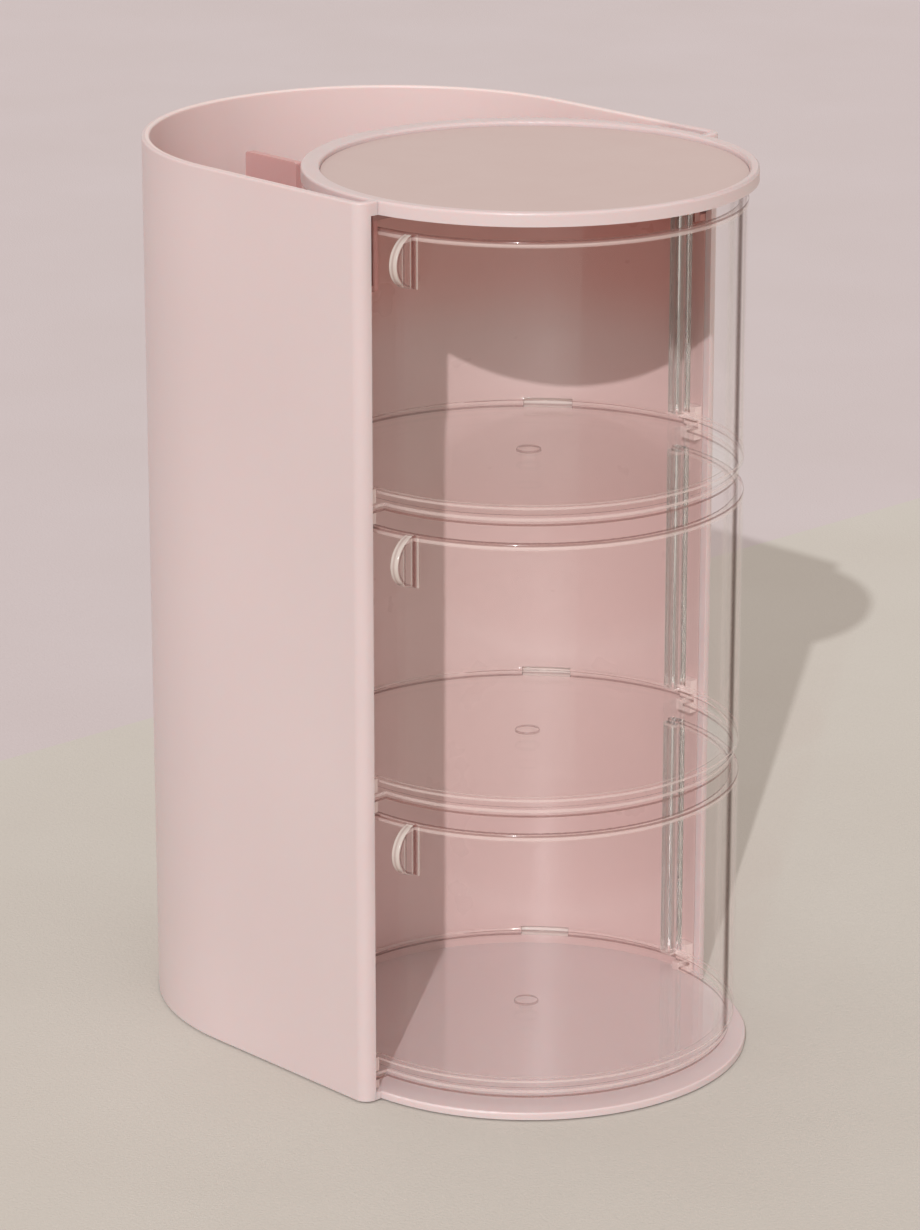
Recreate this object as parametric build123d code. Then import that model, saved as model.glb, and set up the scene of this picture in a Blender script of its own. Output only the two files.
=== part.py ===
from build123d import *
import math
import os

# Rotating hair accessory organizer: three clear trays that turn inside a U-shaped pink shell.
# Millimetres, +Z up. Everything is drawn about the drum's upright axis, with the open front
# towards -Y and the hollow bay towards +Y, and moved at the end so that the origin is the
# middle of the footprint on the ground.

# Trays: the size of the whole object follows from theirs
TIERS = ("bottom", "middle", "top")
TRAY_R = 67.5
TRAY_HEIGHT = 84.4
TRAY_WALL = 2.5
TRAY_FLOOR = 2.0
TRAY_ROOT_ROUND = 1.5        # between the floor and the wall
TRAY_EDGE_ROUND = 0.5
TRAY_FOOT_ROUND = 1.4        # outer rounding under the floor
WALL_PAST_SIDE = 0.5         # degrees that the front wall runs on behind each side, at rest
BEAD_DEPTH = 2.5             # thicker upright bead inside the wall's right end
BEAD_LENGTH = 5.2
BEAD_ROUND = 0.6
BEAD_DROP = 1.0              # its top below the wall's
FIN_ANGLE = -165.0           # face of the finger fin that is pushed
FIN_THICK = 2.9
FIN_REACH = 9.0
FIN_HALF_HEIGHT = 8.3
FIN_EDGE_ROUND = 0.6

# What stands round the trays, from the inside outwards
CLIP_CLEARANCE = 2.1         # tray to clips
CLIP_DEPTH = 3.2
PARTITION_WALL = 2.0
PARTITION_GAP = 0.3          # partition to the shell's arms
NECK_GAP = 0.8               # top tray to the partition's narrower neck under the lid
SHELL_WALL = 2.5
BACK_Y = 65.6                # drum axis to the centre of the shell's round back
ARM_FACE_Y = -7.8            # front faces of the arm ends
ARM_INNER_ROUND = 1.5
SHELL_RIM_ROUND = 0.7
LID_OVERHANG = 3.1           # lid's edge beyond the trays
BASE_OVERHANG = 0.7          # base's front edge beyond the lid
SHELF_SET_BACK = 1.5         # shelf's front edge behind the trays
FIT_GAP = 0.1                # between pieces that are pushed together
SLIDE_GAP = 0.3              # between a shelf and the partition's curve
OVERCUT = 1.0                # how far a cut runs past the face that it opens

# From the ground upwards
FOOT_STAND = 0.6
BASE_THICK = 2.4
BASE_EDGE_ROUND = 0.6
SHELF_STAND = 2.9            # base to the lowest shelf
SHELF_THICK = 3.0
TRAY_LIFT = 0.3              # shelf to the tray on it
SHELF_GAP = 5.3              # tray's rim to the shelf above
HEADROOM = 5.1               # top tray's rim to the lid
NECK_HEIGHT = 22.0
LID_SIDE = 4.3
LID_RIM_WIDTH = 4.5
LID_RECESS = 1.6             # rim down to the inlay
LID_RECESS_FORWARD = 2.0     # recess and inlay stand this much nearer the front than the lid
LID_EDGE_ROUND = 0.8
LID_GROOVE = 0.2             # seam between the lid and the arm ends
INLAY_THICK = 0.8

# Shelf fastenings, and what the trays turn on
SHELF_TAB_WIDTH = 16.0       # tabs at the back that enter slots in the partition
SHELF_TAB_ANGLES = (41, 139)
CLIP_LENGTH = 6.6            # along the partition's end
CLIP_ABOVE = 4.5             # height over the shelf
CLIP_BELOW = 3.5
CLIP_SPINE = 1.4
CLIP_PEG_R = 1.45
CLIP_PEG_OFFSET = 1.0        # from the clip's middle
WASHER_THICK = 0.25
WASHER_R = 6.5
PIN_R = 2.2
PIN_RUN = 0.08               # radial running clearance in the tray
PIN_HEAD_R = 4.0
PIN_HEAD_THICK = 1.0
PIN_HEAD_ROUND = 0.8
PIN_HEAD_PLAY = 0.15
RETAINER_R = 4.6
RETAINER_THICK = 1.3
RETAINER_TAIL = 0.2

# Screws, the posts that they go into, and the feet
SCREW_CORE_R = 1.25
SCREW_HOLE_R = 1.6
SCREW_HEAD_R = 2.7
SCREW_HEAD_THICK = 1.2
PAN_HEAD_THICK = 1.8
CROSS_SPAN = 3.2             # cross recess in each head
CROSS_WIDTH = 0.8
CROSS_DEPTH = 0.7
POST_R = 3.5
POST_SINK = 0.5              # how far a post stands in the wall beside it
PILOT_R = 1.3
PILOT_FLOOR = 3.0            # solid end of a post above its pilot hole
SHELL_POST_HEIGHT = 20.0
PARTITION_POST_HEIGHT = 15.0
BASE_SCREW_GRIP = 9.0
FLANGE_WIDTH = 11.3          # flange inside the neck's top, which carries the lid
FLANGE_THICK = 2.4
LID_BOSS_DROP = 1.4
LID_SCREW_TIP = 0.2
FOOT_THICK = 1.2
FOOT_R = 7.0
FOOT_EDGE_ROUND = 0.3
FOOT_INSET = 17.5            # side feet's centres inside the trays' edge

# Headband hanger in the bay
HANGER_BOSS_REACH = 5.4      # bosses behind the partition
HANGER_THICK = 2.5
HANGER_TIP_GAP = 7.7         # its end to the shell's back
HANGER_STAND_DEPTH = 25.0
HANGER_SINK = 16.5           # its top below the shell's rim
HANGER_STAND_HEIGHT = 26.5   # upstand above the arm
HANGER_ARM_HEIGHT = 18.0
HANGER_NOTCH_ROUND = 6.0
HANGER_TIP_ROUND = 8.0
HANGER_TOP_ROUND = 1.0
HANGER_PAD_ROUND = 2.0
HANGER_PAD_HALF = 14.0
HANGER_PAD_HEIGHT = 34.0
HANGER_PAD_DROP = 3.0        # pad's lower edge below the arm
HANGER_SCREW_X = 9.0
HANGER_SCREW_INSET = 7.0     # from the pad's upper and lower edges
HANGER_SCREW_LENGTH = 7.0

# Worked out from the above
SHELF_FRONT_R = TRAY_R - SHELF_SET_BACK
CLIP_INNER_R = TRAY_R + CLIP_CLEARANCE
PARTITION_R = CLIP_INNER_R + CLIP_DEPTH
PARTITION_OUT = PARTITION_R + PARTITION_WALL
SHELL_INNER = PARTITION_OUT + PARTITION_GAP
SHELL_HALF_WIDTH = SHELL_INNER + SHELL_WALL
SHELL_CORNER = ARM_INNER_ROUND + SHELL_WALL
LIP_BACK_Y = ARM_FACE_Y + SHELL_WALL
MOUTH_HALF = PARTITION_R + 2 * FIT_GAP
LID_R = TRAY_R + LID_OVERHANG
BASE_FRONT_R = LID_R + BASE_OVERHANG
NECK_R = TRAY_R + NECK_GAP
NECK_OUT = NECK_R + PARTITION_WALL
FLANGE_INNER_R = NECK_R - FLANGE_WIDTH
LID_SCREW_R = FLANGE_INNER_R + POST_R + POST_SINK

BASE_TOP = FOOT_STAND + BASE_THICK
FIRST_TRAY_Z = BASE_TOP + SHELF_STAND + SHELF_THICK + TRAY_LIFT
TIER_PITCH = TRAY_HEIGHT + SHELF_GAP + SHELF_THICK + TRAY_LIFT
LID_UNDER = FIRST_TRAY_Z + (len(TIERS) - 1) * TIER_PITCH + TRAY_HEIGHT + HEADROOM
SHOULDER_Z = LID_UNDER - NECK_HEIGHT
HEIGHT = LID_UNDER + LID_SIDE
LID_FLOOR = HEIGHT - LID_RECESS - INLAY_THICK
LID_BOSS_LOW = LID_UNDER - FLANGE_THICK - LID_BOSS_DROP

HANGER_PAD_Y = PARTITION_OUT + HANGER_BOSS_REACH
HANGER_TIP_Y = BACK_Y + SHELL_INNER - HANGER_TIP_GAP
HANGER_STAND_Y = HANGER_TIP_Y - HANGER_STAND_DEPTH
HANGER_TOP = HEIGHT - HANGER_SINK
HANGER_ARM_HIGH = HANGER_TOP - HANGER_STAND_HEIGHT
HANGER_ARM_LOW = HANGER_ARM_HIGH - HANGER_ARM_HEIGHT
HANGER_PAD_LOW = HANGER_ARM_LOW - HANGER_PAD_DROP
HANGER_PAD_HIGH = HANGER_PAD_LOW + HANGER_PAD_HEIGHT

DEPTH_MIDDLE = (BACK_Y + SHELL_HALF_WIDTH - BASE_FRONT_R) / 2
TO_ORIGIN = Location((0, -DEPTH_MIDDLE, 0))


def tray_z(tier):
    """Underside of a tray, counted from the lowest."""
    return FIRST_TRAY_Z + tier * TIER_PITCH


def shelf_top_z(tier):
    return tray_z(tier) - TRAY_LIFT


def polar(radius, angle, centre_y=0.0):
    """A place on a circle about the drum's axis, or about a centre behind it."""
    turn = math.radians(angle)
    return (radius * math.cos(turn), centre_y + radius * math.sin(turn))


def slab(low_x, high_x, low_y, high_y):
    """A flat rectangle by its edges."""
    middle = Location(((low_x + high_x) / 2, (low_y + high_y) / 2, 0))
    return middle * Rectangle(high_x - low_x, high_y - low_y)


def raised(sketch, low, high):
    """A sketch on the ground plane, as a solid between two heights."""
    return Pos(0, 0, low) * extrude(sketch, high - low)


def post(x, y, low, high, radius):
    return Pos(x, y, low) * extrude(Circle(radius), high - low)


def edges_at(solid, z):
    return solid.edges().filter_by(
        lambda edge: abs(edge.bounding_box().min.Z - z) < 1e-4 and abs(edge.bounding_box().max.Z - z) < 1e-4)


def behind(y):
    """A big rectangle that keeps what lies behind a line across the object."""
    return slab(-2 * SHELL_HALF_WIDTH, 2 * SHELL_HALF_WIDTH, y, y + 4 * SHELL_HALF_WIDTH)


def inside_shell():
    """What the shell encloses, less the gap for pieces that are pushed into it."""
    return u_outline(SHELL_INNER - FIT_GAP, LIP_BACK_Y + FIT_GAP, SHELL_CORNER - SHELL_WALL - FIT_GAP)


def shell_post_places():
    """Screw posts along the shell's inner face, where it stands clear of the partition."""
    circle = SHELL_INNER - POST_R + POST_SINK
    return [polar(circle, angle, BACK_Y) for angle in (0, 50, 90, 130, 180)]


def partition_post_places():
    """Screw posts on the partition's bay side."""
    return [polar(PARTITION_OUT + POST_R - 2 * POST_SINK, angle) for angle in (50, 90, 130)]


def lid_screw_places():
    return [polar(LID_SCREW_R, angle) for angle in (20, 70, 110, 160)]


def foot_places():
    side = TRAY_R - FOOT_INSET
    front = -side * 0.7
    rear = BACK_Y + 2 * FOOT_R
    return [(-side, front), (side, front), (-side, rear), (side, rear), (0.0, BACK_Y + side)]


# Outer shell: one moulding, open at its top and at its front, with the arm ends turned in.
def u_outline(half_width, front_y, corner):
    straight = slab(-half_width, half_width, front_y, BACK_Y)
    corners = straight.vertices().filter_by(lambda v: v.Y < BACK_Y / 2)
    straight = fillet(corners, corner)
    return straight + (Pos(0, BACK_Y) * Circle(half_width) & behind(BACK_Y))


def make_outer_shell():
    outer = u_outline(SHELL_HALF_WIDTH, ARM_FACE_Y, SHELL_CORNER)
    inner = u_outline(SHELL_INNER, LIP_BACK_Y, SHELL_CORNER - SHELL_WALL)
    shell = raised(outer - inner, FOOT_STAND, HEIGHT)
    shell = fillet(edges_at(shell, HEIGHT), SHELL_RIM_ROUND)
    # the front is open below the lid, and beside the lid it reaches in to the lid's edge
    mouth = slab(-MOUTH_HALF, MOUTH_HALF, ARM_FACE_Y - OVERCUT, LIP_BACK_Y + OVERCUT)
    shell -= raised(mouth, 0, LID_UNDER)
    shell -= post(0, 0, LID_UNDER, HEIGHT + OVERCUT, LID_R + LID_GROOVE)
    for x, y in shell_post_places():
        foot = post(x, y, BASE_TOP, BASE_TOP + SHELL_POST_HEIGHT, POST_R)
        middle_of_wall = u_outline(SHELL_HALF_WIDTH - SHELL_WALL / 2, ARM_FACE_Y, SHELL_CORNER)
        shell += foot & raised(middle_of_wall, 0, HEIGHT)
    for x, y in shell_post_places():
        shell -= post(x, y, BASE_TOP, BASE_TOP + SHELL_POST_HEIGHT - PILOT_FLOOR, PILOT_R)
    return shell


# Base plate: the round front under the drum and the floor of the bay, in one flat plate.
def make_base_plate():
    shoulders = slab(-MOUTH_HALF + FIT_GAP, MOUTH_HALF - FIT_GAP, ARM_FACE_Y, LIP_BACK_Y + OVERCUT)
    plate = raised(Circle(BASE_FRONT_R) + shoulders + inside_shell(), FOOT_STAND, BASE_TOP)
    front = edges_at(plate, BASE_TOP).filter_by(lambda edge: edge.center().Y < 2 * ARM_FACE_Y)
    plate = fillet(front, BASE_EDGE_ROUND)
    for x, y in foot_places():
        plate -= post(x, y, FOOT_STAND, FOOT_THICK, FOOT_R)
    for x, y in shell_post_places() + partition_post_places():
        plate -= post(x, y, FOOT_STAND, BASE_TOP, SCREW_HOLE_R)
        plate -= countersink(x, y, FOOT_STAND, 1)
    return plate


def countersink(x, y, z, side):
    """A cone for a countersunk head whose flat end is at z; side is 1 where the screw points up."""
    cone = Cone(SCREW_HEAD_R + FIT_GAP, SCREW_CORE_R + FIT_GAP, SCREW_HEAD_THICK + FIT_GAP,
                align=(Align.CENTER, Align.CENTER, Align.MIN))
    return Pos(x, y, z) * (cone if side > 0 else Rot(180, 0, 0) * cone)


def countersunk_screw(x, y, z, length, side):
    """Cross-head screw; z is the flat of its head and side is 1 where it points up."""
    head = Cone(SCREW_HEAD_R, SCREW_CORE_R, SCREW_HEAD_THICK, align=(Align.CENTER, Align.CENTER, Align.MIN))
    shank = Cylinder(SCREW_CORE_R, length, align=(Align.CENTER, Align.CENTER, Align.MIN))
    screw = head + shank
    for turn in (0, 90):
        screw -= Rot(0, 0, turn) * Box(CROSS_SPAN, CROSS_WIDTH, 2 * CROSS_DEPTH)
    return Pos(x, y, z) * (screw if side > 0 else Rot(180, 0, 0) * screw)


# Partition: half cylinder round the trays, slotted for the shelves, drawn in under the lid to a
# narrower neck whose top flange carries it.
def half_ring(inner_r, outer_r, low, high):
    ring = (Circle(outer_r) - Circle(inner_r)) & inside_shell()
    return raised(ring, low, high)


def make_partition():
    wall = half_ring(PARTITION_R, PARTITION_OUT, BASE_TOP, SHOULDER_Z)
    wall += half_ring(NECK_R, PARTITION_OUT, SHOULDER_Z - PARTITION_WALL, SHOULDER_Z)
    wall += half_ring(NECK_R, NECK_OUT, SHOULDER_Z - PARTITION_WALL, LID_UNDER)
    wall += half_ring(FLANGE_INNER_R, NECK_OUT, LID_UNDER - FLANGE_THICK, LID_UNDER)
    for x, y in lid_screw_places():
        wall += post(x, y, LID_BOSS_LOW, LID_UNDER, POST_R)
        wall -= post(x, y, LID_BOSS_LOW, LID_UNDER, PILOT_R)
    for x, y in partition_post_places():
        wall += post(x, y, BASE_TOP, BASE_TOP + PARTITION_POST_HEIGHT, POST_R)
        wall -= post(x, y, BASE_TOP, BASE_TOP + PARTITION_POST_HEIGHT - PILOT_FLOOR, PILOT_R)
    for x, z in hanger_screw_places():
        boss = along_y(POST_R, x, z, PARTITION_R - OVERCUT, HANGER_PAD_Y)
        wall += boss - post(0, 0, 0, HEIGHT, PARTITION_R + POST_SINK)
        wall -= along_y(PILOT_R, x, z, PARTITION_OUT, HANGER_PAD_Y)
    for tier in range(len(TIERS)):
        top = shelf_top_z(tier)
        tabs = shelf_tabs(SHELF_TAB_WIDTH + 2 * FIT_GAP, PARTITION_OUT + OVERCUT)
        wall -= raised(tabs, top - SHELF_THICK - FIT_GAP, top + FIT_GAP)
        for side in (-1, 1):
            hole_r = CLIP_PEG_R + FIT_GAP / 2
            wall -= clip_peg(tier, side, hole_r, PARTITION_R - OVERCUT, PARTITION_OUT + OVERCUT)
    return wall


def shelf_tabs(width, reach):
    """Rectangles that run out from the shelf's back edge."""
    tabs = Sketch()
    for angle in SHELF_TAB_ANGLES:
        tabs += Rot(0, 0, angle) * slab(SHELF_FRONT_R, reach, -width / 2, width / 2)
    return tabs


def along_y(radius, x, z, low_y, high_y):
    """A round bar that runs from front to back."""
    return Pos(x, low_y, z) * Rot(-90, 0, 0) * Cylinder(
        radius, high_y - low_y, align=(Align.CENTER, Align.CENTER, Align.MIN))


# Clips: small blocks pegged to the partition's ends, each gripping a shelf's edge.
def clip_low_z(tier):
    return max(shelf_top_z(tier) - SHELF_THICK - CLIP_BELOW, BASE_TOP + FIT_GAP)


def clip_high_z(tier):
    return shelf_top_z(tier) + CLIP_ABOVE


def clip_peg(tier, side, radius, low_x, high_x):
    y = LIP_BACK_Y + CLIP_LENGTH / 2 + CLIP_PEG_OFFSET
    z = clip_high_z(tier) - CLIP_ABOVE / 2
    bar = Cylinder(radius, high_x - low_x, align=(Align.CENTER, Align.CENTER, Align.MIN))
    return Pos(side * low_x, y, z) * Rot(0, side * 90, 0) * bar


def clip_outline(inner_r, outer_r, gap, side):
    """The arc that a clip takes up, seen from above."""
    low_x = min(0, side * SHELL_HALF_WIDTH)
    high_x = max(0, side * SHELL_HALF_WIDTH)
    strip = slab(low_x, high_x, LIP_BACK_Y + FIT_GAP - gap, LIP_BACK_Y + CLIP_LENGTH + gap)
    return (Circle(outer_r) - Circle(inner_r)) & strip


def make_clips(side):
    clips = []
    outer_r = PARTITION_R - FIT_GAP
    for tier in range(len(TIERS)):
        clip = raised(clip_outline(CLIP_INNER_R, outer_r, 0, side), clip_low_z(tier), clip_high_z(tier))
        groove = clip_outline(CLIP_INNER_R - OVERCUT, outer_r - CLIP_SPINE, OVERCUT, side)
        top = shelf_top_z(tier)
        clip -= raised(groove, top - SHELF_THICK - FIT_GAP / 2, top + FIT_GAP / 2)
        clip += clip_peg(tier, side, CLIP_PEG_R, outer_r - POST_SINK, PARTITION_OUT - FIT_GAP)
        clips.append(clip)
    return clips


# Lid: round cap with a raised rim, screwed down on the partition's flange, and the inlay over the screws.
def make_lid():
    lid = post(0, 0, LID_UNDER, HEIGHT, LID_R)
    lid -= post(0, -LID_RECESS_FORWARD, LID_FLOOR, HEIGHT, LID_R - LID_RIM_WIDTH)
    lid = fillet(edges_at(lid, HEIGHT), LID_EDGE_ROUND)
    for x, y in lid_screw_places():
        lid -= post(x, y, LID_UNDER, LID_FLOOR, SCREW_HOLE_R)
        lid -= countersink(x, y, LID_FLOOR, -1)
    return lid


def make_inlay():
    top = LID_FLOOR + INLAY_THICK
    disc = post(0, -LID_RECESS_FORWARD, LID_FLOOR, top, LID_R - LID_RIM_WIDTH - FIT_GAP)
    return fillet(edges_at(disc, top), INLAY_THICK / 4)


# Shelves: clear plates, round in front and as wide as the partition behind, notched at the clips.
def make_shelf(tier):
    back = Circle(PARTITION_R - SLIDE_GAP) & behind(LIP_BACK_Y + FIT_GAP)
    outline = Circle(SHELF_FRONT_R) + back + shelf_tabs(SHELF_TAB_WIDTH, PARTITION_OUT - FIT_GAP)
    notch_r = PARTITION_R - 2 * FIT_GAP - CLIP_SPINE
    for side in (-1, 1):
        outline -= clip_outline(notch_r, PARTITION_R + OVERCUT, FIT_GAP, side)
    top = shelf_top_z(tier)
    return raised(outline, top - SHELF_THICK, top) - post(0, 0, top - SHELF_THICK, top, PIN_R + FIT_GAP)


# Trays: a round floor, a half-cylinder wall with rounded edges and a bead at its right end, and a
# half-disc finger fin near its left end.
def make_tray(tier):
    low = tray_z(tier)
    floor = post(0, 0, low, low + TRAY_FLOOR, TRAY_R)
    floor = fillet(edges_at(floor, low), TRAY_FOOT_ROUND)
    floor = fillet(edges_at(floor, low + TRAY_FLOOR), TRAY_EDGE_ROUND)
    inner = TRAY_R - TRAY_WALL
    floor_top = low + TRAY_FLOOR
    wall_top = low + TRAY_HEIGHT
    foot = slab(inner - 2 * TRAY_ROOT_ROUND, TRAY_R, floor_top - TRAY_EDGE_ROUND, floor_top)
    section = foot + slab(inner, TRAY_R, floor_top, wall_top)
    root = section.vertices().sort_by_distance((inner, floor_top, 0))[0]
    section = Plane.XZ * fillet(root, TRAY_ROOT_ROUND)
    wall = revolve(section, Axis.Z, revolution_arc=180 + 2 * WALL_PAST_SIDE)
    wall = fillet(edges_at(wall, wall_top), TRAY_EDGE_ROUND)
    tray = floor + Rot(0, 0, -180 - WALL_PAST_SIDE) * wall + make_fin(wall_top)
    tray += raised(bead_outline(), floor_top - TRAY_EDGE_ROUND, wall_top - BEAD_DROP)
    return tray - post(0, 0, low, floor_top, PIN_R + PIN_RUN)


def bead_outline():
    """The bead seen from above: it ends just short of the wall's own end."""
    inner = TRAY_R - TRAY_WALL - BEAD_DEPTH
    end_y = inner * math.sin(math.radians(WALL_PAST_SIDE))
    strip = slab(0, TRAY_R, end_y - BEAD_LENGTH, end_y)
    bead = (Circle(TRAY_R - TRAY_WALL / 2) - Circle(inner)) & strip
    inner_corners = bead.vertices().sort_by(lambda corner: abs(corner.X))[:2]
    return fillet(inner_corners, BEAD_ROUND)


def make_fin(wall_top):
    """Half disc that stands out from the wall, its flat push face at FIN_ANGLE."""
    root = TRAY_R - TRAY_WALL / 2
    outer_half = slab(0, 2 * FIN_REACH, -2 * FIN_REACH, 2 * FIN_REACH)
    fin = extrude(Ellipse(FIN_REACH + TRAY_WALL / 2, FIN_HALF_HEIGHT) & outer_half, FIN_THICK)
    rim = fin.edges().filter_by(lambda edge: edge.center().X > FIN_REACH / 2)
    fin = fillet(rim, FIN_EDGE_ROUND)
    upright = Pos(root, 0, wall_top - FIN_HALF_HEIGHT) * Rot(90, 0, 0) * fin
    return Rot(0, 0, FIN_ANGLE) * upright


# Pivot: a pin with a low round head through tray and shelf, a washer between them, a cap below.
def make_pin(tier):
    head_z = tray_z(tier) + TRAY_FLOOR + PIN_HEAD_PLAY
    head = post(0, 0, head_z, head_z + PIN_HEAD_THICK, PIN_HEAD_R)
    head = fillet(edges_at(head, head_z + PIN_HEAD_THICK), PIN_HEAD_ROUND)
    tail = shelf_top_z(tier) - SHELF_THICK - RETAINER_THICK - RETAINER_TAIL
    return head + post(0, 0, tail, head_z, PIN_R)


def make_washer(tier):
    ring = Circle(WASHER_R) - Circle(PIN_R + FIT_GAP)
    return raised(ring, shelf_top_z(tier), shelf_top_z(tier) + WASHER_THICK)


def make_retainer(tier):
    top = shelf_top_z(tier) - SHELF_THICK
    ring = Circle(RETAINER_R) - Circle(PIN_R + FIT_GAP / 2)
    return raised(ring, top - RETAINER_THICK, top)


# Hanger: an upright plate in the bay with a notch for headbands, screwed to the partition.
def make_hanger():
    blade = hanger_blade()
    to_bay = Plane(origin=(HANGER_THICK / 2, 0, 0), x_dir=(0, 1, 0), z_dir=(1, 0, 0))
    hanger = to_bay * extrude(blade, -HANGER_THICK)
    hanger += hanger_pad()
    for x, z in hanger_screw_places():
        hanger -= along_y(SCREW_HOLE_R, x, z, HANGER_PAD_Y, HANGER_PAD_Y + HANGER_THICK)
    return hanger


def hanger_blade():
    """Side outline of the hanger's fin, drawn with depth to the right and height upwards."""
    rear = HANGER_PAD_Y + HANGER_THICK / 2
    arm = slab(rear, HANGER_TIP_Y, HANGER_ARM_LOW, HANGER_ARM_HIGH)
    low_tip = arm.vertices().sort_by_distance((HANGER_TIP_Y, HANGER_ARM_LOW, 0))[0]
    arm = fillet(low_tip, HANGER_TIP_ROUND)
    blade = arm + slab(HANGER_STAND_Y, HANGER_TIP_Y, HANGER_ARM_HIGH - OVERCUT, HANGER_TOP)
    notch = blade.vertices().sort_by_distance((HANGER_STAND_Y, HANGER_ARM_HIGH, 0))[0]
    blade = fillet(notch, HANGER_NOTCH_ROUND)
    return fillet(blade.vertices().group_by(Axis.Y)[-1], HANGER_TOP_ROUND)


def hanger_pad():
    """The plate across the hanger's front end, which is screwed to the bosses."""
    face = slab(-HANGER_PAD_HALF, HANGER_PAD_HALF, HANGER_PAD_LOW, HANGER_PAD_HIGH)
    face = fillet(face.vertices(), HANGER_PAD_ROUND)
    upright = Plane(origin=(0, HANGER_PAD_Y, 0), x_dir=(1, 0, 0), z_dir=(0, -1, 0))
    return upright * extrude(face, -HANGER_THICK)


def hanger_screw_places():
    heights = (HANGER_PAD_LOW + HANGER_SCREW_INSET, HANGER_PAD_HIGH - HANGER_SCREW_INSET)
    return [(x, z) for x in (-HANGER_SCREW_X, HANGER_SCREW_X) for z in heights]


def make_hanger_screws():
    screws = []
    seat = HANGER_PAD_Y + HANGER_THICK
    head_top = seat + PAN_HEAD_THICK
    for x, z in hanger_screw_places():
        head = along_y(SCREW_HEAD_R, x, z, seat, head_top)
        head = fillet(head.edges().sort_by(Axis.Y)[-1], PAN_HEAD_THICK / 3)
        screw = head + along_y(SCREW_CORE_R, x, z, head_top - HANGER_SCREW_LENGTH, seat)
        for turn in (0, 90):
            slot = Box(CROSS_SPAN, 2 * CROSS_DEPTH, CROSS_WIDTH)
            screw -= Pos(x, head_top, z) * Rot(0, turn, 0) * slot
        screws.append(screw)
    return screws


def make_lid_screws():
    length = LID_FLOOR - LID_BOSS_LOW - LID_SCREW_TIP
    return [countersunk_screw(x, y, LID_FLOOR, length, -1) for x, y in lid_screw_places()]


def make_base_screws():
    places = shell_post_places() + partition_post_places()
    return [countersunk_screw(x, y, FOOT_STAND, BASE_THICK + BASE_SCREW_GRIP, 1) for x, y in places]


def make_feet():
    feet = []
    for x, y in foot_places():
        foot = post(x, y, 0, FOOT_THICK, FOOT_R - FIT_GAP)
        feet.append(fillet(edges_at(foot, 0), FOOT_EDGE_ROUND))
    return feet


def build_parts():
    nodes = {
        "outer_shell": make_outer_shell(),
        "base_plate": make_base_plate(),
        "partition_wall": make_partition(),
        "top_lid": make_lid(),
        "lid_inlay": make_inlay(),
        "headband_hanger": make_hanger(),
        "shelf_clips_left": make_clips(-1),
        "shelf_clips_right": make_clips(1),
        "lid_screws": make_lid_screws(),
        "base_screws": make_base_screws(),
        "hanger_screws": make_hanger_screws(),
        "rubber_feet": make_feet(),
    }
    for tier, name in enumerate(TIERS):
        nodes[f"shelf_{name}"] = make_shelf(tier)
        nodes[f"tray_{name}"] = make_tray(tier)
        nodes[f"pivot_pin_{name}"] = make_pin(tier)
        nodes[f"glide_washer_{name}"] = make_washer(tier)
        nodes[f"pin_retainer_{name}"] = make_retainer(tier)
    return nodes


def save(nodes):
    os.makedirs("parts", exist_ok=True)
    for name, shape in nodes.items():
        pieces = shape if isinstance(shape, list) else [shape]
        solids = [solid for piece in pieces for solid in piece.solids()]
        placed = [TO_ORIGIN * solid for solid in solids]
        export_step(placed[0] if len(placed) == 1 else Compound(children=placed), f"parts/{name}.step")


save(build_parts())
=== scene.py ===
import math

import bmesh
import bpy
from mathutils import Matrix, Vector

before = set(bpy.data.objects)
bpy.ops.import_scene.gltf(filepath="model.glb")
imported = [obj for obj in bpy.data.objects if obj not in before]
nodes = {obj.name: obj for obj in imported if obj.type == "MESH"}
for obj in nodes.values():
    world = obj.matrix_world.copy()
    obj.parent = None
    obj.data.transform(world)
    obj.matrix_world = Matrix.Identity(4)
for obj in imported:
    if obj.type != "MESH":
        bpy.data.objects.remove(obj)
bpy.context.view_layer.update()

# Room: a pale stone-coloured floor that runs on into a pale rose wall colour behind the object,
# one low sun from the left for the crisp shadows, and an even sky.
STONE_COLOURS = ("C8C0B7", "D0CAC2")
WALL_COLOURS = ("CBBEBE", "D1C5C7")
WALL_LINE = 0.294                        # how far back the wall's colour begins
MOTTLE_SCALE = 9.0
GRAIN_SCALE = 900.0
GRAIN_DEPTH = 0.0002
FLOOR_ROUGHNESS = 0.75
FLOOR_HALF = 5.0

SUN_WAY = (0.7986, 0.6018)               # the way that the light runs over the floor
SUN_HEIGHT = math.radians(30.8)
SUN_WIDTH = math.radians(0.6)
SUN_STRENGTH = 1.88
SUN_COLOUR = (0.93, 0.98, 1.0)
SKY_COLOUR = "FFF7F1"
SKY_STRENGTH = 0.71

CAMERA_PLACE = (-0.97553, -1.04332, 0.58684)
CAMERA_WAY = (0.65265, 0.69500, -0.30170)
CAMERA_LENS = 135.8
CAMERA_NEAR = 0.05
CAMERA_FAR = 30.0
LIGHT_BOUNCES = 32                       # enough for all the clear walls one behind another


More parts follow.
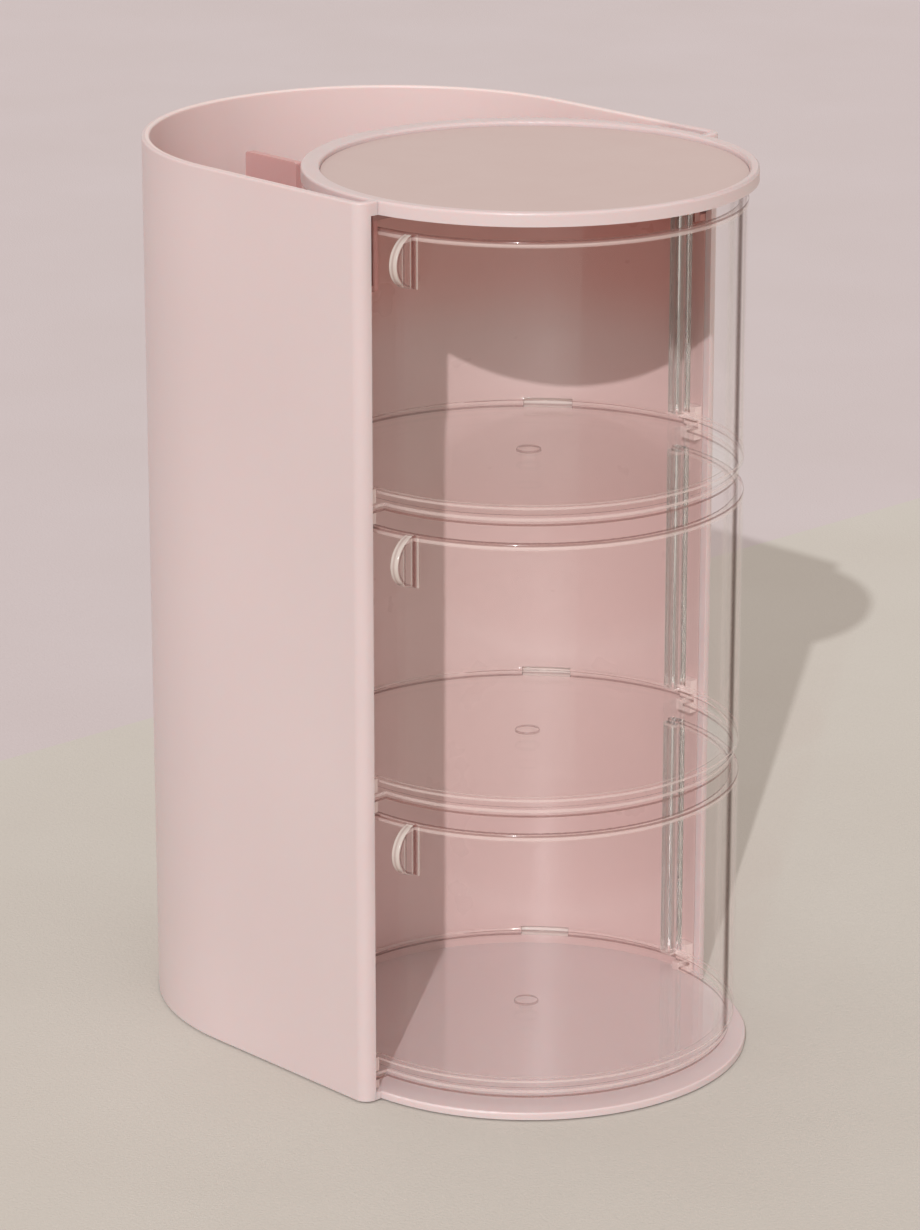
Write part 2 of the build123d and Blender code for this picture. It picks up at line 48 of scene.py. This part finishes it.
class Signal:
    """An output of a material's node tree. Arithmetic on it adds Math nodes."""

    def __init__(self, finish, socket):
        self.finish = finish
        self.socket = socket

    def math(self, operation, *others):
        values = dict(enumerate((self, *others)))
        return self.finish.node("ShaderNodeMath", {"operation": operation}, values)

    def __add__(self, other):
        return self.math("ADD", other)

    __radd__ = __add__

    def __mul__(self, other):
        return self.math("MULTIPLY", other)

    __rmul__ = __mul__

    def __sub__(self, other):
        return self.math("SUBTRACT", other)

    def __rsub__(self, other):
        values = {0: other, 1: self}
        return self.finish.node("ShaderNodeMath", {"operation": "SUBTRACT"}, values)

    def __gt__(self, other):
        return self.math("GREATER_THAN", other)

    def __lt__(self, other):
        return self.math("LESS_THAN", other)

    def out(self, name):
        """Another output of the same node."""
        return Signal(self.finish, self.socket.node.outputs[name])

    def fade(self, low, high, start=0.0, end=1.0):
        """A value that goes smoothly from start to end as this one goes from low to high."""
        limits = {"Value": self, "From Min": low, "From Max": high, "To Min": start, "To Max": end}
        smooth = {"interpolation_type": "SMOOTHSTEP"}
        return self.finish.node("ShaderNodeMapRange", smooth, limits)


class Finish:
    """A material whose nodes are written as expressions."""

    def __init__(self, name):
        self.material = bpy.data.materials.new(name)
        self.material.use_nodes = True
        self.tree = self.material.node_tree
        self.tree.nodes.clear()

    def node(self, kind, settings=None, inputs=None, output=0):
        made = self.tree.nodes.new(kind)
        for key, value in (settings or {}).items():
            setattr(made, key, value)
        for key, value in (inputs or {}).items():
            if isinstance(value, Signal):
                self.tree.links.new(value.socket, made.inputs[key])
            else:
                made.inputs[key].default_value = value
        return Signal(self, made.outputs[output])

    def place(self):
        """Object coordinates, in metres."""
        return self.node("ShaderNodeTexCoord", output="Object")

    def coordinates(self):
        """Object coordinates one by one: to the right, to the back and up."""
        split = self.node("ShaderNodeSeparateXYZ", {}, {0: self.place()})
        return split.out("X"), split.out("Y"), split.out("Z")

    def noise(self, scale, detail=2.0):
        inputs = {"Vector": self.place(), "Scale": scale, "Detail": detail}
        return self.node("ShaderNodeTexNoise", {}, inputs)

    def blend(self, share, first, second):
        """A mix of two colours."""
        colours = {0: share, 6: first, 7: second}
        return self.node("ShaderNodeMix", {"data_type": "RGBA"}, colours, output=2)

    def bump(self, height, distance, strength=1.0):
        inputs = {"Height": height, "Distance": distance, "Strength": strength}
        return self.node("ShaderNodeBump", {}, inputs)

    def plastic(self, inputs):
        return self.node("ShaderNodeBsdfPrincipled", {}, inputs)

    def output(self, surface):
        end = self.tree.nodes.new("ShaderNodeOutputMaterial")
        self.tree.links.new(surface.socket, end.inputs["Surface"])
        return self.material


def srgb(code):
    """A colour as a screen shows it, in Blender's linear values."""
    channels = [int(code[i:i + 2], 16) / 255 for i in (0, 2, 4)]
    linear = [c / 12.92 if c <= 0.04045 else ((c + 0.055) / 1.055) ** 2.4 for c in channels]
    return (*linear, 1.0)


pale_floor = Finish("pale_floor")
mottle = pale_floor.noise(MOTTLE_SCALE, 3.0)
stone = pale_floor.blend(mottle, *map(srgb, STONE_COLOURS))
wall = pale_floor.blend(mottle, *map(srgb, WALL_COLOURS))
to_back = pale_floor.coordinates()[1]
mesh = bmesh.new()
bmesh.ops.create_grid(mesh, x_segments=1, y_segments=1, size=FLOOR_HALF)
floor_mesh = bpy.data.meshes.new("floor")
mesh.to_mesh(floor_mesh)
mesh.free()
floor = bpy.data.objects.new("floor", floor_mesh)
floor.data.materials.append(pale_floor.output(pale_floor.plastic({
    "Base Color": pale_floor.blend(to_back > WALL_LINE, stone, wall),
    "Roughness": FLOOR_ROUGHNESS,
    "Normal": pale_floor.bump(pale_floor.noise(GRAIN_SCALE), GRAIN_DEPTH)})))
bpy.context.collection.objects.link(floor)

sun_light = bpy.data.lights.new("low_sun", "SUN")
sun_light.energy = SUN_STRENGTH
sun_light.color = SUN_COLOUR
sun_light.angle = SUN_WIDTH
sun = bpy.data.objects.new("low_sun", sun_light)
sun.rotation_mode = "QUATERNION"
sun.rotation_quaternion = Vector((*SUN_WAY, -math.tan(SUN_HEIGHT))).to_track_quat("-Z", "Y")
bpy.context.collection.objects.link(sun)

sky = bpy.data.worlds.new("even_sky")
sky.use_nodes = True
sky.node_tree.nodes["Background"].inputs["Color"].default_value = srgb(SKY_COLOUR)
sky.node_tree.nodes["Background"].inputs["Strength"].default_value = SKY_STRENGTH
bpy.context.scene.world = sky

camera_data = bpy.data.cameras.new("camera")
camera_data.lens = CAMERA_LENS
camera_data.clip_start = CAMERA_NEAR
camera_data.clip_end = CAMERA_FAR
camera = bpy.data.objects.new("camera", camera_data)
camera.location = CAMERA_PLACE
camera.rotation_mode = "QUATERNION"
camera.rotation_quaternion = Vector(CAMERA_WAY).to_track_quat("-Z", "Y")
bpy.context.collection.objects.link(camera)
bpy.context.scene.camera = camera
bpy.context.scene.view_settings.view_transform = "Standard"
for kind in ("max", "diffuse", "glossy", "transmission", "transparent_max"):
    setattr(bpy.context.scene.cycles, f"{kind}_bounces", LIGHT_BOUNCES)


# Base plate: a thin flat plate under the drum and the bay, moulded in rose-coloured plastic with a
# satin skin that lets a little light in. Shell and partition are screwed down on it from below.
SHELL_ROSE = ("D8C4C3", "D4C0BF")        # the colour, and the deeper one that it drifts to
DRIFT_SCALE = 6.0
DRIFT_RANGE = (0.35, 0.65)
SATIN = 0.36
HAZE_SCALE = 45.0
HAZE_RANGE = (0.3, 0.7)
HAZE_BELOW = 0.03
HAZE_ABOVE = 0.04
PEEL_SCALE = 1400.0
PEEL_DEPTH = 0.00001
PEEL_STRENGTH = 0.35
ROSE_IOR = 1.5
POLISH_ROUGHNESS = 0.03
SLIGHT_GLOW = 0.3
GLOW_COLOUR = (1.0, 0.35, 0.28)
GLOW_DEPTH = 0.004


class RosePlastic(Finish):
    """Rose-coloured plastic, which may be painted in places before it is finished."""

    def __init__(self, name, colour, deeper):
        super().__init__(name)
        drift = self.noise(DRIFT_SCALE).fade(*DRIFT_RANGE)
        self.tone = self.blend(drift, srgb(deeper), srgb(colour))

    def paint(self, share, colour):
        self.tone = self.blend(share, self.tone, srgb(colour))

    def finished(self, gloss, polish=0.0, glow=0.0):
        haze = self.noise(HAZE_SCALE, 3.0)
        roughness = haze.fade(*HAZE_RANGE, gloss - HAZE_BELOW, gloss + HAZE_ABOVE)
        peel = self.bump(self.noise(PEEL_SCALE, 1.0), PEEL_DEPTH, PEEL_STRENGTH)
        return self.output(self.plastic({
            "Base Color": self.tone, "Roughness": roughness, "Normal": peel, "IOR": ROSE_IOR,
            "Coat Weight": polish, "Coat Roughness": POLISH_ROUGHNESS,
            "Subsurface Weight": glow, "Subsurface Radius": GLOW_COLOUR,
            "Subsurface Scale": GLOW_DEPTH}))


def dress(material, *names):
    """Gives CAD nodes their material."""
    for name in names:
        nodes[name].data.materials.clear()
        nodes[name].data.materials.append(material)


rose_shell = RosePlastic("rose_shell", *SHELL_ROSE).finished(SATIN, glow=SLIGHT_GLOW)
dress(rose_shell, "base_plate")


# Outer shell: one tall U-shaped moulding in the same plastic, with both arms turned in at the
# front. It stands on the base plate and is screwed to it. Round the bay its inside is painted
# paler, as painted light.
AXIS_Y = -0.03595                        # the trays' upright axis, which stands at x = 0
ROUND_BACK_Y = 0.02965                   # centre of the shell's half-round back
BAY_PAINTED_LIGHT_ROSE = "E8D3D0"
BAY_PAINTED_LIGHT_R = 0.0766                        # between the wall's two faces
BAY_PAINTED_LIGHT_SOFT = 0.0003
ARM_BACK_Y = AXIS_Y + 0.0102
ARM_FADE = 0.012


def length(across, along):
    """The long side over two sides at a right angle."""
    return (across * across + along * along).math("SQRT")


shell = RosePlastic("rose_bay_painted_light", *SHELL_ROSE)
to_right, to_back = shell.coordinates()[:2]
reach = length(to_right, (to_back - ROUND_BACK_Y).math("MAXIMUM", 0.0))
behind_arms = to_back.fade(ARM_BACK_Y, ARM_BACK_Y + ARM_FADE)
# Painted light: the bay's inner faces, behind the arms, are painted paler.
shell.paint(reach.fade(BAY_PAINTED_LIGHT_R, BAY_PAINTED_LIGHT_R - BAY_PAINTED_LIGHT_SOFT) * behind_arms, BAY_PAINTED_LIGHT_ROSE)
dress(shell.finished(SATIN, glow=SLIGHT_GLOW), "outer_shell")


# Partition: the half cylinder behind the trays, in the same plastic with a polished skin, its
# colour deeper than the shell's as painted shade of the drum's inside. It stands on the base
# plate and draws in to a neck that carries the lid. Its upper part under the lid and the neck's
# ends are painted deeper still, as painted shade.
PARTITION_PAINTED_SHADE_ROSE = ("D3B4B0", "CFB0AC")
POLISHED = 0.3
UPPER_PAINTED_SHADE_ROSE = "D0978F"
UPPER_FROM = 0.213
UPPER_FULL = 0.242
UPPER_R = 0.0737                         # just inside the wall's outer face
NECK_PAINTED_SHADE_ROSE = "A3665F"
NECK_FRONT = -0.003                      # the neck's ends lie in front of this, from the axis
NECK_R = 0.0708

# Painted shade: the whole partition is deeper in colour than the shell's same plastic.
partition = RosePlastic("rose_gloss", *PARTITION_PAINTED_SHADE_ROSE)
to_right, to_back, up = partition.coordinates()
past_axis = to_back - AXIS_Y
reach = length(to_right, past_axis)
# Painted shade: deeper towards the top, where the lid shades it.
partition.paint(up.fade(UPPER_FROM, UPPER_FULL) * (reach < UPPER_R), UPPER_PAINTED_SHADE_ROSE)
# Painted shade: the neck's ends, in front of the axis, are deeper still.
partition.paint((past_axis < NECK_FRONT) * (reach < NECK_R), NECK_PAINTED_SHADE_ROSE)
dress(partition.finished(POLISHED, polish=1.0), "partition_wall")


# Shelf clips: small blocks in a paler rose plastic, pegged to the partition's ends, three on each
# side. Each grips the edge of a shelf.
CLIP_ROSE = ("E8D0CB", "E4CCC7")
CLIP_POLISH = 0.5
rose_clip = RosePlastic("rose_clip", *CLIP_ROSE).finished(POLISHED, polish=CLIP_POLISH)
dress(rose_clip, "shelf_clips_left", "shelf_clips_right")


# Headband hanger: an upright plate in the bay with a notch for headbands, in a rose plastic
# painted deeper as painted shade of the bay, screwed to the back of the partition.
HANGER_PAINTED_SHADE_ROSE = ("D2A6A3", "CEA29F")
# Painted shade: the hanger's colour is deeper than the shell's.
rose_hanger_painted_shade = RosePlastic("rose_hanger_painted_shade", *HANGER_PAINTED_SHADE_ROSE).finished(SATIN, glow=SLIGHT_GLOW)
dress(rose_hanger_painted_shade, "headband_hanger")


# Lid: a round cap with a raised rim in the shell's plastic, screwed down on the partition's flange.
# Its inlay is a flat disc over the screws, with a finer, duller skin.
INLAY_ROSE = ("CDB6B1", "CBB3AE")
DULL = 0.5
dress(rose_shell, "top_lid")
dress(RosePlastic("rose_inlay", *INLAY_ROSE).finished(DULL), "lid_inlay")


# Shelves: clear moulded plates, polished and faintly hazy, gripped by the clips and held at the
# back by two tabs in the partition's slots. Their edges carry painted lines: a dark rose one,
# painted refraction of the rose round them, and a pale painted highlight. The tabs carry a
# painted glint.
TRAY_FEET = {"bottom": 0.0092, "middle": 0.1022, "top": 0.1952}    # the trays' undersides
CLEAR = "FFFFFF"
CLEAR_SHADE = "FEFDFD"                   # the slight tint that sunlight takes on
CLEAR_HAZE_SCALE = 30.0
CLEAR_HAZE_RANGE = (0.2, 0.8)
CLEAR_ROUGHNESS = (0.035, 0.055)
CLEAR_GLEAM = 0.35
FACE_ON_GLEAM = 0.07
UPRIGHT_SLOPE = 0.7                      # an upright face's normal rises or falls less than this
EDGE_PAINTED_REFRACTION = ("85564F", 0.15)             # a colour and its roughness
EDGE_PAINTED_HIGHLIGHT = ("F0DAD4", 0.15)
EDGE_PAINTED_REFRACTION_SHARE = 0.65
EDGE_PAINTED_HIGHLIGHT_SHARE = 0.38
EDGE_R = 0.06
EDGE_SOFT = 0.0002
SHELF_DARK_EDGE = (-0.0034, -0.0026)     # from and to, in height from the tray's foot
SHELF_LIGHT_EDGE = (-0.0018, -0.0008)
SHELF_TAB_FROM = 0.0727
TAB_PAINTED_GLINT = ("F4EAE4", 0.3)
TAB_PAINTED_GLINT_SHARE = 0.8


def band(value, low, high, soft=EDGE_SOFT):
    """1 between two values, with soft ends."""
    return value.fade(low - soft, low + soft) - value.fade(high - soft, high + soft)


class ClearPlastic(Finish):
    """Clear plastic, to which touches of other surfaces are added before it is finished."""

    def __init__(self, name, gleam=CLEAR_GLEAM):
        super().__init__(name)
        self.to_right, to_back, self.up = self.coordinates()
        self.past_axis = to_back - AXIS_Y
        self.radius = length(self.to_right, self.past_axis)
        self.facing = self.node("ShaderNodeLayerWeight", {}, {"Blend": 0.5}, output="Facing")
        outward = self.node("ShaderNodeNewGeometry", output="Normal")
        slope = self.node("ShaderNodeSeparateXYZ", {}, {0: outward}, output="Z")
        self.upright = slope.math("ABSOLUTE") < UPRIGHT_SLOPE
        haze = self.noise(CLEAR_HAZE_SCALE, 3.0)
        roughness = haze.fade(*CLEAR_HAZE_RANGE, *CLEAR_ROUGHNESS)
        mirror = {"Base Color": srgb(CLEAR), "Metallic": 1.0, "Roughness": roughness}
        self.skin = self.see_through(CLEAR)
        shine = gleam * (FACE_ON_GLEAM + self.facing.math("POWER", 5.0))
        self.add(shine, self.plastic(mirror))

    def see_through(self, colour):
        return self.node("ShaderNodeBsdfTransparent", {}, {"Color": srgb(colour)})

    def add(self, share, surface):
        self.skin = self.node("ShaderNodeMixShader", {}, {0: share, 1: self.skin, 2: surface})

    def paint(self, share, colour, roughness):
        self.add(share, self.plastic({"Base Color": srgb(colour), "Roughness": roughness}))

    def edge_line(self, base, heights, look, share, edge_r=EDGE_R):
        """A painted line of light or shade round the upright faces that lie further out than
        edge_r.
        """
        low, high = heights
        line = band(self.up, base + low, base + high) * self.upright * (self.radius > edge_r)
        self.paint(line * share, *look)

    def finished(self):
        """Sunlight passes with nearly no loss."""
        shadow = self.node("ShaderNodeLightPath", output="Is Shadow Ray")
        self.add(shadow, self.see_through(CLEAR_SHADE))
        return self.output(self.skin)


for tier, foot in TRAY_FEET.items():
    shelf = ClearPlastic(f"clear_shelf_{tier}")
    # Painted glint: the tabs, beyond the shelf's round edge, are painted whitish.
    shelf.paint((shelf.radius > SHELF_TAB_FROM) * TAB_PAINTED_GLINT_SHARE, *TAB_PAINTED_GLINT)
    # Painted refraction and highlight: a dark rose line and a pale line along the edge.
    shelf.edge_line(foot, SHELF_DARK_EDGE, EDGE_PAINTED_REFRACTION, EDGE_PAINTED_REFRACTION_SHARE)
    shelf.edge_line(foot, SHELF_LIGHT_EDGE, EDGE_PAINTED_HIGHLIGHT, EDGE_PAINTED_HIGHLIGHT_SHARE)
    dress(shelf.finished(), f"shelf_{tier}")


# Trays: clear mouldings that turn, each a round floor with a half-cylinder wall in front. The
# wall ends at the right in a bead, thick enough to bend what lies behind it, and has a half-oval
# finger fin near its left end.
TRAY_OUTER = 0.0675                      # the wall's outer face
ON_WALL = TRAY_OUTER - 0.0003            # what is further out is on that face
OFF_WALL = TRAY_OUTER + 0.0002           # and what is further out than this is on the fin
TRAY_TALL = 0.0844
TRAY_FLOOR = 0.002
FOOT_DARK_EDGE = (-0.0001, 0.0006)
FOOT_LIGHT_EDGE = (0.0022, 0.0030)
RIM_DARK_EDGE = (-0.0008, 0.0001)        # in height from the rim
RIM_LIGHT_EDGE = (-0.0019, -0.0009)

STREAK_SKIN = (TRAY_OUTER - 0.0002, TRAY_OUTER - 0.0001)
STREAK_PAINTED_SHADE = "8C766E"
STREAK_PAINTED_SHADE_SHARE = 0.6
STREAK_PAINTED_SHADE_BAND = (0.71, 0.77, 0.03)    # from, to and softness, by how the face is turned
STREAK_PAINTED_HIGHLIGHT = ("E6DFD9", 0.1)
STREAK_PAINTED_HIGHLIGHT_SHARES = (0.16, 0.22)
STREAK_PAINTED_HIGHLIGHT_BANDS = ((0.60, 0.655, 0.02), (0.80, 0.86, 0.02))

BEAD_INNER = 0.0624                      # the bead lies to the right of this
BEAD_FOOT = TRAY_FLOOR + 0.0008
BEAD_BAND = (-0.0050, 0.0009, 0.00005)   # from, to and softness, past the axis
BEAD_FACE = 0.0640                       # its inner face is nearer to the axis than this
BEAD_IOR = 1.49
BEAD_PAINTED_GREY = ("8E837B", 0.25)
BEAD_PAINTED_GREY_SHARE = 0.45
BEAD_PAINTED_DARK = ("5E514B", 0.2)
BEAD_PAINTED_DARK_SHARE = 0.7
BEAD_PAINTED_DARK_LINE = (-0.0021, -0.0012, 0.00015)
BEAD_PAINTED_GLINT = ("DCD3CB", 0.12)
BEAD_PAINTED_GLINT_SHARE = 0.5
BEAD_OUTER_GLINTS = ((-0.0041, -0.0034, 0.00015), (-0.0006, 0.0, 0.00015))
BEAD_INNER_GLINT = (0.0, 0.0006, 0.00015)

FIN_HALF_TALL = 0.0083                   # the fin's middle is this far below the rim
FIN_ROOT = 0.06625
FIN_DEEP = 0.01025
FIN_ANGLE = math.radians(-165.0)
FIN_PAINTED_HIGHLIGHT = ("DCD0C8", 0.12)
FIN_PAINTED_REFRACTION = ("7A4742", 0.2)
FIN_EDGE_FROM = 0.97                     # in parts of the oval
FIN_EDGE_FADE = (-1.0, -0.4, 0.15, 0.7)  # the edge is fainter at the fin's lower end
FIN_INNER_LINE, FIN_INNER_SHARE = (0.88, 0.95, 0.01), 0.4
FIN_MIDDLE_LINE, FIN_MIDDLE_SHARE = (-0.0019, -0.0012, 0.0001), 0.5
FIN_ROOT_LINE, FIN_ROOT_SHARE = (TRAY_OUTER + 0.0010, TRAY_OUTER + 0.0016, 0.0001), 0.45
FIN_NOTCH = (TRAY_OUTER, TRAY_OUTER + 0.0006, 0.0001)
FIN_SIDE_LINE, FIN_SIDE_LINE_SHARE = (-0.0001, 0.0007, 0.0001), 0.75
FIN_SIDE_GLINT, FIN_SIDE_GLINT_SHARE = (0.0012, 0.0018, 0.0001), 0.4


def streak_wall(tray):
    """Painted streaks outside where the wall turns away: a darker see-through one, painted shade,
    between two pale painted highlights.
    """
    outside = tray.radius.fade(*STREAK_SKIN)
    dark_streak = outside * band(tray.facing, *STREAK_PAINTED_SHADE_BAND) * STREAK_PAINTED_SHADE_SHARE
    tray.add(dark_streak, tray.see_through(STREAK_PAINTED_SHADE))
    for share, limits in zip(STREAK_PAINTED_HIGHLIGHT_SHARES, STREAK_PAINTED_HIGHLIGHT_BANDS):
        tray.paint(outside * band(tray.facing, *limits) * share, *STREAK_PAINTED_HIGHLIGHT)


def thicken_bead(tray, foot):
    """A bead that bends light, with painted refraction on it, greyer inside and a dark line
    outside, between two painted glints.
    """
    bead = (tray.to_right > BEAD_INNER) * (tray.up > foot + BEAD_FOOT)
    across = bead * band(tray.past_axis, *BEAD_BAND)
    inside = tray.radius < BEAD_FACE
    outside = tray.radius > ON_WALL
    thick = {"Roughness": 0.0, "IOR": BEAD_IOR, "Transmission Weight": 1.0}
    tray.add(across, tray.plastic(thick))
    # Painted refraction: a grey inner face and a dark line outside; painted glints beside them.
    tray.paint(across * inside * BEAD_PAINTED_GREY_SHARE, *BEAD_PAINTED_GREY)
    dark_line = band(tray.past_axis, *BEAD_PAINTED_DARK_LINE) * outside
    tray.paint(bead * dark_line * BEAD_PAINTED_DARK_SHARE, *BEAD_PAINTED_DARK)
    first, second = (band(tray.past_axis, *glint) for glint in BEAD_OUTER_GLINTS)
    glints = (first + second) * outside + band(tray.past_axis, *BEAD_INNER_GLINT) * inside
    tray.paint(bead * glints * BEAD_PAINTED_GLINT_SHARE, *BEAD_PAINTED_GLINT)


def edge_fin(tray, rim):
    """Painted highlights on the fin's edge and root and on the wall beside it, and painted
    refraction lines on the fin, at its notch and on the wall beside it.
    """
    rise = (tray.up - (rim - FIN_HALF_TALL)) * (1.0 / FIN_HALF_TALL)
    oval = length(rise, (tray.radius - FIN_ROOT) * (1.0 / FIN_DEEP))
    past_fin = tray.to_right * -math.sin(FIN_ANGLE) + tray.past_axis * math.cos(FIN_ANGLE)
    level = rise.math("ABSOLUTE") < 1.0
    proud = tray.radius > OFF_WALL
    beside = level * (tray.radius > ON_WALL) * (1 - proud) * (tray.to_right < 0.0)

    edge = (oval > FIN_EDGE_FROM) * proud * rise.fade(*FIN_EDGE_FADE)
    # Painted highlight along the fin's edge; painted refraction lines follow.
    tray.paint(edge, *FIN_PAINTED_HIGHLIGHT)
    inner_line = band(oval, *FIN_INNER_LINE) * proud
    middle_line = band(past_fin, *FIN_MIDDLE_LINE) * edge
    refraction_lines = inner_line * FIN_INNER_SHARE + middle_line * FIN_MIDDLE_SHARE
    tray.paint(refraction_lines, *FIN_PAINTED_REFRACTION)
    root = band(tray.radius, *FIN_ROOT_LINE) * level
    tray.paint(root * FIN_ROOT_SHARE, *FIN_PAINTED_HIGHLIGHT)

    notch = band(tray.radius, *FIN_NOTCH) * proud * level
    side_line = band(past_fin, *FIN_SIDE_LINE) * beside + notch
    tray.paint(side_line * FIN_SIDE_LINE_SHARE, *FIN_PAINTED_REFRACTION)
    tray.paint(band(past_fin, *FIN_SIDE_GLINT) * beside * FIN_SIDE_GLINT_SHARE, *FIN_PAINTED_HIGHLIGHT)


for tier, foot in TRAY_FEET.items():
    tray = ClearPlastic(f"clear_tray_{tier}")
    rim = foot + TRAY_TALL
    streak_wall(tray)
    thicken_bead(tray, foot)
    edge_fin(tray, rim)
    # Painted refraction and highlight: dark rose and pale lines round the foot and the rim.
    tray.edge_line(foot, FOOT_DARK_EDGE, EDGE_PAINTED_REFRACTION, EDGE_PAINTED_REFRACTION_SHARE)
    tray.edge_line(rim, RIM_DARK_EDGE, EDGE_PAINTED_REFRACTION, EDGE_PAINTED_REFRACTION_SHARE)
    tray.edge_line(foot, FOOT_LIGHT_EDGE, EDGE_PAINTED_HIGHLIGHT, EDGE_PAINTED_HIGHLIGHT_SHARE)
    tray.edge_line(rim, RIM_LIGHT_EDGE, EDGE_PAINTED_HIGHLIGHT, EDGE_PAINTED_HIGHLIGHT_SHARE)
    dress(tray.finished(), f"tray_{tier}")


# Pivots: a clear pin down through each tray and its shelf, a washer between the two for the tray
# to turn on, and a push-on cap below. The side of the pin's low head is painted as a thin dark
# ring, painted refraction.
SMALL_GLEAM = 0.12
PIN_PAINTED_REFRACTION_EDGE = (0.0021, 0.0034)
PIN_PAINTED_REFRACTION_SHARE = 0.42
PIN_HEAD_R = 0.0034

for tier, foot in TRAY_FEET.items():
    pin = ClearPlastic(f"clear_pin_{tier}", SMALL_GLEAM)
    # Painted refraction: a dark ring round the side of the pin's head.
    pin.edge_line(foot, PIN_PAINTED_REFRACTION_EDGE, EDGE_PAINTED_REFRACTION, PIN_PAINTED_REFRACTION_SHARE, PIN_HEAD_R)
    dress(pin.finished(), f"pivot_pin_{tier}")
    small = ClearPlastic(f"clear_small_{tier}", SMALL_GLEAM)
    dress(small.finished(), f"glide_washer_{tier}", f"pin_retainer_{tier}")


# Screws and feet: zinc-plated steel screws, turned in under the inlay, in the bay and from below
# the base plate, and thin rubber pads stuck under that plate.
ZINC = ("C9C9CB", 0.3, 1.0)              # colour, roughness, and 1 for metal
RUBBER = ("CFC4BE", 0.8, 0.0)
HANDLING_SCALE = 300.0
HANDLING = 0.05


def plain_finish(name, colour, roughness, metal):
    finish = Finish(name)
    haze = finish.noise(HANDLING_SCALE)
    rough = haze.fade(*HAZE_RANGE, roughness - HANDLING, roughness + HANDLING)
    inputs = {"Base Color": srgb(colour), "Roughness": rough, "Metallic": metal}
    return finish.output(finish.plastic(inputs))


dress(plain_finish("zinc_steel", *ZINC), "lid_screws", "base_screws", "hanger_screws")
dress(plain_finish("rubber", *RUBBER), "rubber_feet")
